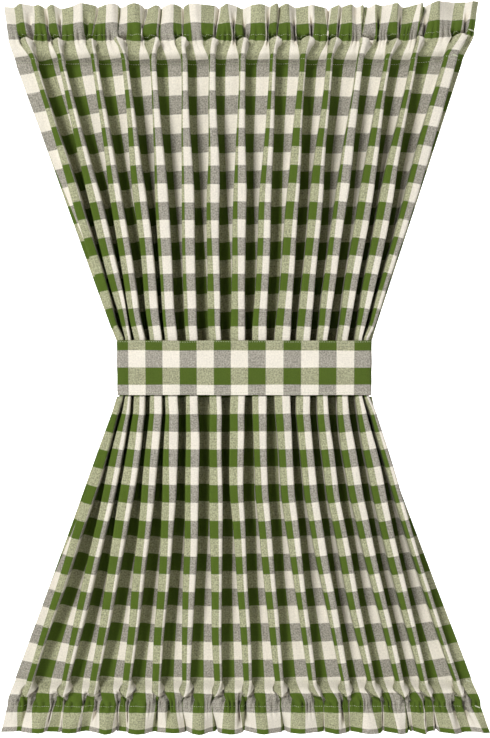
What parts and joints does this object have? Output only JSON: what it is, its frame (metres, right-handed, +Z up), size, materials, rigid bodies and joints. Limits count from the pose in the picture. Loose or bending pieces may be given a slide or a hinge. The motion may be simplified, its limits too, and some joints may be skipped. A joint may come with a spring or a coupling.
{
  "type": "french door curtain",
  "caption": "Gathered cotton door panel with a ruffled rod casing at top and bottom, drawn in at the middle by a flat tieback.",
  "frame": {"origin": "middle of the upper rod's axis, inside the heading's rod casing", "axes": "+Z up along the hung curtain, +X to the right along the rods, the front faces -Y"},
  "size_m": [0.6709, 0.0539, 1.013],
  "materials": {
    "check_cloth": "woven cotton check, matt",
    "tie_cloth": "woven cotton check, matt"
  },
  "bodies": {
    "root": {"panel": "check_cloth", "heading": "check_cloth", "foot_casing": "check_cloth", "tieback": "tie_cloth"}
  },
  "joints": []
}
